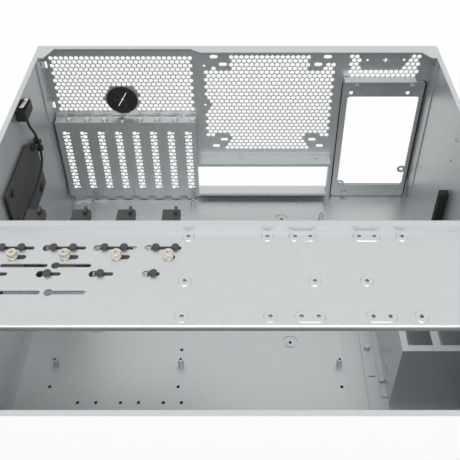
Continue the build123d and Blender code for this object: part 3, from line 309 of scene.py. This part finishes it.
mesh = bmesh.new()
cells = [
    (x, z) for row, x, z in hole_field(*left_field)
    if hypot(x - grommet_place[0], z - grommet_place[1]) > grommet_clearing
]
for row, x, z in hole_field(*middle_field):
    reach = 43.5 if row < 4 or row == 22 else 38.05 + 2.9 * (row - 22)
    in_corner = (row < 4 or row > 21) and abs(x - fan_middle[0]) > reach
    kept = (row in (2, 3) and x > 105.4 - 2.9 * row) or (row == 3 and abs(x + 26.7) < 1)
    kept = kept or (row == 22 and abs(x - fan_middle[0]) > 63.0)
    if hypot(x - screw_holes[1][0], z - screw_holes[1][1]) > screw_clearing and (kept or not in_corner):
        cells.append((x, z))
for row, x, z in hole_field(*supply_field):
    if row > 3 or x < (137.0 if row == 3 else 134.0) or x > 189.5 - 2.8 * row:
        cells.append((x, z))
for place in cells:
    ring(mesh, place, hole_pitch / sqrt(3), 6, filled=True)
bmesh.ops.remove_doubles(mesh, verts=mesh.verts, dist=0.00002)
rims = [edge for edge in mesh.edges if len(edge.link_faces) == 1]
panel_top = case_height - sheet
panel_edge = ((-case_half, sheet), (case_half, sheet), (case_half, panel_top), (-case_half, panel_top))
card_and_port_opening = (
    (-209.8, 12.7), (-49.8, 12.7), (-49.8, 15.0), (111.4, 15.0),
    (111.4, 63.5), (-49.8, 63.5), (-49.8, 126.0), (-209.8, 126.0),
)
supply_opening = ((122.0, 18.7), (209.5, 18.7), (209.5, 164.2), (122.0, 164.2))
cross_hole = (
    (161.3, 200.2), (162.7, 200.2), (162.7, 202.2), (164.8, 202.2), (164.8, 203.6), (162.7, 203.6),
    (162.7, 205.6), (161.3, 205.6), (161.3, 203.6), (159.2, 203.6), (159.2, 202.2), (161.3, 202.2),
)
for corners in (panel_edge, card_and_port_opening, supply_opening, cross_hole):
    rims += outline(mesh, *corners)
rounds = [ring(mesh, grommet_place, grommet_radius, 40)]
for place in screw_holes:
    rounds.append(ring(mesh, place, screw_radius, 12))
for spacing in fan_spacings:
    for side in (-0.5, 0.5):
        for level in (-0.5, 0.5):
            place = (fan_middle[0] + side * spacing, fan_middle[1] + level * spacing)
            slot = ring(mesh, place, fan_slot_radius, 17)
            for vert in slot:
                vert.co.x += copysign(fan_slot_stretch / 1000, vert.co.x - place[0] / 1000)
            rounds.append(slot)
half_width, half_height = edge_slot_half
for x, z in edge_slots:
    left, right, low, high = x - half_width, x + half_width, z - half_height, z + half_height
    rims += outline(mesh, (left, low), (right, low), (right, high), (left, high))
for verts in rounds:
    rims += [edge for vert in verts for edge in vert.link_edges]
rims = list(dict.fromkeys(rims))
bmesh.ops.triangle_fill(mesh, use_beauty=True, use_dissolve=False, edges=rims, normal=(0, 1, 0))
whole = [face for face in mesh.faces if len(face.verts) == 6]
bmesh.ops.inset_individual(mesh, faces=whole, thickness=hole_wall / 2000, use_even_offset=True)
punched = [face for face in mesh.faces if len(face.verts) == 6]
bmesh.ops.delete(mesh, geom=punched, context="FACES")
loose = [edge for edge in mesh.edges if not edge.link_faces]
bmesh.ops.delete(mesh, geom=loose, context="EDGES")
bmesh.ops.recalc_face_normals(mesh, faces=mesh.faces)
wall = bmesh.ops.extrude_face_region(mesh, geom=mesh.faces[:])["geom"]
moved = [part for part in wall if isinstance(part, bmesh.types.BMVert)]
bmesh.ops.translate(mesh, verts=moved, vec=(0, -sheet / 1000, 0))
flange = (
    (-case_half, 0.0), (case_half, 0.0), (case_half, 24.7), (204.6, 24.7), (196.6, 13.7),
    (-39.8, 13.7), (-50.8, 6.5), (-196.6, 6.5), (-204.6, 24.7), (-case_half, 24.7),
)
lip = mesh.faces.new([
    mesh.verts.new((x / 1000, rear_y - ahead / 1000, case_height / 1000)) for x, ahead in flange
])
depth = bmesh.ops.extrude_face_region(mesh, geom=[lip])["geom"]
moved = [part for part in depth if isinstance(part, bmesh.types.BMVert)]
bmesh.ops.translate(mesh, verts=moved, vec=(0, 0, -sheet / 1000))
return_size = Matrix.Diagonal((sheet / 1000, 0.0238, 0.1888, 1.0))
for side in (-1, 1):
    place = Matrix.Translation((side * 0.2132, rear_y - 0.0131, 0.1244))
    bmesh.ops.create_cube(mesh, size=1.0, matrix=place @ return_size)
bmesh.ops.recalc_face_normals(mesh, faces=mesh.faces)
rear_wall = bpy.data.objects.new("rear_panel_punched", bpy.data.meshes.new("rear_panel_punched"))
mesh.to_mesh(rear_wall.data)
mesh.free()
scene.collection.objects.link(rear_wall)
rear_wall.data.materials.append(galvanised)
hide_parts("rear_panel")
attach(rear_wall, "case")

# Small pressed and punched marks: two low domes pressed into the right wall, and black spots of
# painted shade that stand for the dark insides of the screw holes and pits in both returns and gussets.


def dome(mesh, place, radius, axis, rise):
    """A low round bump on a face whose normal runs along X or Z."""
    turn = Matrix.Rotation(pi / 2, 4, "Y") if axis == "X" else Matrix.Identity(4)
    spot = Matrix.Translation(Vector(place) / 1000) @ turn
    size = Matrix.Diagonal((radius / 1000, radius / 1000, rise * radius / 1000, 1.0))
    bmesh.ops.create_uvsphere(mesh, u_segments=16, v_segments=8, radius=1.0, matrix=spot @ size)


def marks(name, spots, material):
    """A piece made of small domes on the case's sheets."""
    mesh = bmesh.new()
    for x, ahead, z, radius, axis, rise in spots:
        dome(mesh, (x, rear_y * 1000 - ahead, z), radius, axis, rise)
    for face in mesh.faces:
        face.smooth = True
    piece = bpy.data.objects.new(name, bpy.data.meshes.new(name))
    mesh.to_mesh(piece.data)
    mesh.free()
    scene.collection.objects.link(piece)
    piece.data.materials.append(material)
    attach(piece, "case")


wall_face = 213.6
return_face = 212.55
gusset_face = 219.94
return_holes = ((10.9, 203.2, 1.9), (16.5, 159.8, 1.1), (17.6, 93.9, 1.1), (18.9, 31.9, 1.1))
gusset_holes = ((204.6, 3.8), (207.7, 17.9), (211.5, 20.5))
pressed = [(wall_face, ahead, z, 2.6, "X", 0.4) for ahead, z in ((120.1, 186.3), (119.6, 160.6))]
marks("wall_domes", pressed, galvanised)
# Black spots of painted shade: flat black domes laid where the holes' insides fall into shade.
hole_shade_spots = []
for side in (-1, 1):
    for ahead, z, radius in return_holes:
        hole_shade_spots.append((side * return_face, ahead, z, radius, "X", 0.1))
for x, ahead in gusset_holes:
    for side in (-1, 1):
        hole_shade_spots.append((side * x, ahead, gusset_face, 0.8, "Z", 0.1))
marks("painted_hole_shade", hole_shade_spots, black_plastic)

# The frame of the card slots and the port opening: a second sheet, set back from the panel to
# make the recess for the card brackets, and held by five dome rivets.
eased("slot_frame", galvanised, 0.0003)
zinc = sheet_finish("zinc", (0.62, 0.65, 0.68), 0.3)
eased("frame_rivets", zinc, 0.0003)

# Eight slot covers, stamped with staggered hexagons and a shallow channel, each held at the
# top by a pan head screw of yellowish nickel and hooked in at the bottom by its tail.
nickel = sheet_finish("nickel", (0.68, 0.64, 0.57), 0.24)
for index in range(1, 9):
    eased(f"slot_cover_{index}", galvanised, 0.00015)
eased("slot_screws", nickel, 0.0003)

# The power supply bracket: a plate with a rounded window and two ring tabs, stiffened by a ledge and
# screwed on. A thin black rubber strip behind it is painted shade for the shadow gap round its edges.
rubber = moulded("rubber", (0.012, 0.012, 0.012), 0.6, 500.0, 0.3)
# Painted shade: this black strip stands for the shadow gap round the bracket.
eased("psu_gasket", rubber, 0.0002)
eased("psu_bracket", galvanised, 0.0004)
eased("psu_screws", zinc, 0.0003)

# The motherboard tray: a raised plate with rounded corners, three pressed bosses and rows of
# holes, and the nine bluish zinc standoffs that are screwed into it.
eased("motherboard_tray", galvanised, 0.0004)
eased("motherboard_standoffs", zinc, 0.0002)

# The cross bar: one wide strip with folded edges, pressed pads, keyholes and slots, screwed
# to both side walls.
eased("cross_bar", galvanised, 0.0003)
eased("bar_screws", zinc, 0.0003)

# Four card retainers: moulded dark plastic arms that slide across under the bar, each
# clamped by a knurled thumb screw of nickel with a cross recess.
dark_plastic = moulded("dark_plastic", (0.05, 0.05, 0.053), 0.5, 700.0, 0.2)
retainer_places = (-168.7, -129.1, -90.1, -50.8)
knurl_count = 30
knurl_ahead = 293.5
knurl_low = 212.1
knurl_high = 215.5
knurl_radius = 3.6
knurl_width = 0.4
for index, across in enumerate(retainer_places, start=1):
    eased(f"card_retainer_{index}", dark_plastic, 0.0003, f"retainer_{index}")
    eased(f"retainer_screw_{index}", nickel, 0.0004, f"retainer_{index}")
    mesh = bmesh.new()
    centre = Vector((across / 1000, rear_y - knurl_ahead / 1000, (knurl_low + knurl_high) / 2000))
    for turn in range(knurl_count):
        place = Matrix.Translation(centre) @ Matrix.Rotation(2 * pi * turn / knurl_count, 4, "Z")
        rib = Matrix.Translation((knurl_radius / 1000, 0, 0)) @ Matrix.Rotation(pi / 4, 4, "Z")
        size = Matrix.Diagonal((knurl_width / 1000, knurl_width / 1000, (knurl_high - knurl_low) / 1000, 1.0))
        bmesh.ops.create_cube(mesh, size=1.0, matrix=place @ rib @ size)
    ribs = bpy.data.objects.new(f"thumb_knurl_{index}", bpy.data.meshes.new(f"thumb_knurl_{index}"))
    mesh.to_mesh(ribs.data)
    mesh.free()
    scene.collection.objects.link(ribs)
    ribs.data.materials.append(nickel)
    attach(ribs, f"retainer_{index}")

# The lid switch: a small black micro switch on the left wall under a bright spring lever
# that the lid presses down, with its lead held to the wall by black clips.
eased("lid_switch", black_plastic, 0.0002)
eased("switch_lever", nickel, 0.0001, "lever")
eased("lead_clips", black_plastic, 0.0002)

# The grommet of the cable hole: a dish of black rubber, cut in a star so that a cable can
# pass, and pressed into the round hole of the rear panel.
eased("cable_grommet", rubber, 0.0003)

# The guard: a thin dark plastic plate cut with sloping corners and held flat on the left
# wall by four push rivets.
eased("wall_guard", dark_plastic, 0.0003)
eased("guard_rivets", black_plastic, 0.0003)

# The foam strip: soft black sponge cut to a bar and stuck upright to the right wall, with
# open pores that show as a rough, dull face.
foam = moulded("foam", (0.02, 0.02, 0.021), 0.9, 1600.0, 0.9)
eased("foam_strip", foam, 0.0008)

# The floor rail beside the tray: a low strip folded from the same sheet and held to the
# floor by headed studs.
eased("floor_rail", galvanised, 0.0004)
eased("rail_studs", zinc, 0.0003)

# The drive cage: a folded box with a turned-in rim and feet screwed to the floor, and the
# divider that splits it into two bays.
eased("drive_cage", galvanised, 0.0005)
eased("cage_divider", galvanised, 0.0003)
eased("cage_screws", zinc, 0.0003)

# The front panel: a flat steel sheet with two fields of intake holes, set under the shell's
# front flange. It is bare zinc inside and has pale paint outside.


def painted_front(name, front_face, paint_colour):
    """Bare zinc on the inner side of the panel, and satin paint on its outer side."""
    finish = Finish(bpy.data.materials.new(name))
    place = finish.node("ShaderNodeTexCoord", output="Object")
    across = finish.node("ShaderNodeSeparateXYZ", values={0: place}, output="Y")
    outer = finish.node("ShaderNodeMath", {"operation": "LESS_THAN"}, {0: across, 1: front_face})
    grains = finish.node("ShaderNodeTexVoronoi", values={"Vector": place, "Scale": 420.0}, output="Color")
    grain = finish.node("ShaderNodeSeparateColor", values={"Color": grains}, output=0)
    peel = finish.node("ShaderNodeTexNoise", values={"Vector": place, "Scale": 1100.0, "Detail": 2.0})
    bump = finish.node(
        "ShaderNodeBump", values={"Strength": 0.1, "Distance": 0.0002, "Height": peel}, output="Normal",
    )
    zinc_colour = finish.mix(grain, (0.55, 0.57, 0.58, 1.0), (0.65, 0.67, 0.68, 1.0))
    surface = finish.node(
        "ShaderNodeBsdfPrincipled",
        values={
            "Base Color": finish.mix(outer, zinc_colour, paint_colour), "Metallic": 0.75 - 0.75 * outer,
            "Roughness": 0.44 + 0.06 * peel, "Normal": bump,
        },
    )
    finish.node("ShaderNodeOutputMaterial", values={"Surface": surface})
    return finish.owner


front_finish = painted_front("front_finish", rear_y - 0.4271, (0.84, 0.84, 0.83, 1.0))
eased("front_panel", front_finish, 0.0003)

# Rack ears and handles: thick painted steel angles screwed to the side walls, and round
# handles screwed through the ears.
pale_paint = moulded("pale_paint", (0.80, 0.80, 0.79), 0.45, 1100.0, 0.15)
for side in ("left", "right"):
    eased(f"rack_ear_{side}", pale_paint, 0.0005)
    eased(f"handle_{side}", pale_paint, 0.0006)
eased("ear_screws", zinc, 0.0003)
eased("handle_screws", zinc, 0.0003)

# Two intake fans behind the front panel, moulded in black plastic, each rotor turning on the
# pin of its frame.
for index in (1, 2):
    eased(f"fan_frame_{index}", black_plastic, 0.0004)
    eased(f"fan_rotor_{index}", black_plastic, 0.0003, f"rotor_{index}")
eased("fan_screws", zinc, 0.0003)

# The front board: green laminate on two posts behind the panel, whose two buttons, three
# lamps and two sockets show through it.
board = moulded("board", (0.02, 0.12, 0.05), 0.4, 900.0, 0.1, 0.5)
lens = moulded("lens", (0.7, 0.7, 0.66), 0.3, 400.0, 0.05, 0.5)
eased("control_board", board, 0.0001)
eased("power_button", black_plastic, 0.0003, "power")
eased("reset_button", black_plastic, 0.0002, "reset")
eased("status_lamps", lens, 0.0003)
eased("data_sockets", black_plastic, 0.0002)
